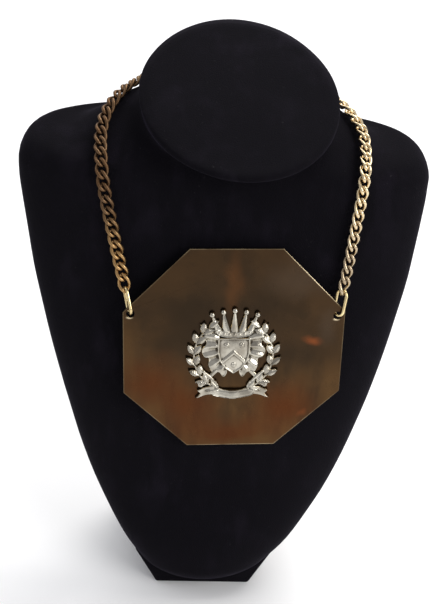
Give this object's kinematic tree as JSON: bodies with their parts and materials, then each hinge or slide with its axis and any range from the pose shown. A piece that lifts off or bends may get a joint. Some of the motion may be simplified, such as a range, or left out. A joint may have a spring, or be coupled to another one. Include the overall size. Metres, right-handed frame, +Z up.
{
  "type": "gorget on a neck bust",
  "caption": "Octagonal brass gorget plate with a pierced silver badge, hung by a curb chain on a black velvet neck bust with a flat foot.",
  "frame": {"origin": "centre of the foot's flat underside", "axes": "+Z up, -Y out of the front of the chest and plate, +X to the right of someone who looks at the front"},
  "size_m": [0.2057, 0.1129, 0.3001],
  "materials": {
    "velvet": "black velvet over a plain form",
    "plate_brass": "satin sheet brass with a bronze-brown lacquer and worn bright edges",
    "badge_silver": "cast white metal, bright on top and dark in the recesses",
    "ring_brass": "polished brass wire",
    "chain_brass": "aged brass curb chain, bright on its outer curves",
    "clasp_brass": "plain brass"
  },
  "bodies": {
    "root": {"neck_bust": "velvet", "plate": "plate_brass", "badge": "badge_silver", "ring_left": "ring_brass", "ring_right": "ring_brass", "link_left_01": "chain_brass", "link_left_02": "chain_brass", "link_left_03": "chain_brass", "link_left_04": "chain_brass", "link_left_05": "chain_brass", "link_left_06": "chain_brass", "link_left_07": "chain_brass", "link_left_08": "chain_brass", "link_left_09": "chain_brass", "link_left_10": "chain_brass", "link_left_11": "chain_brass", "link_left_12": "chain_brass", "link_left_13": "chain_brass", "link_left_14": "chain_brass", "link_left_15": "chain_brass", "link_left_16": "chain_brass", "link_left_17": "chain_brass", "link_left_18": "chain_brass", "link_left_19": "chain_brass", "link_left_20": "chain_brass", "link_left_21": "chain_brass", "link_left_22": "chain_brass", "link_right_01": "chain_brass", "link_right_02": "chain_brass", "link_right_03": "chain_brass", "link_right_04": "chain_brass", "link_right_05": "chain_brass", "link_right_06": "chain_brass", "link_right_07": "chain_brass", "link_right_08": "chain_brass", "link_right_09": "chain_brass", "link_right_10": "chain_brass", "link_right_11": "chain_brass", "link_right_12": "chain_brass", "link_right_13": "chain_brass", "link_right_14": "chain_brass", "link_right_15": "chain_brass", "link_right_16": "chain_brass", "link_right_17": "chain_brass", "link_right_18": "chain_brass", "link_right_19": "chain_brass", "link_right_20": "chain_brass", "link_right_21": "chain_brass", "link_right_22": "chain_brass", "nape_left_1": "chain_brass", "nape_left_2": "chain_brass", "nape_right_1": "chain_brass", "nape_right_2": "chain_brass", "clasp": "clasp_brass"}
  },
  "joints": []
}
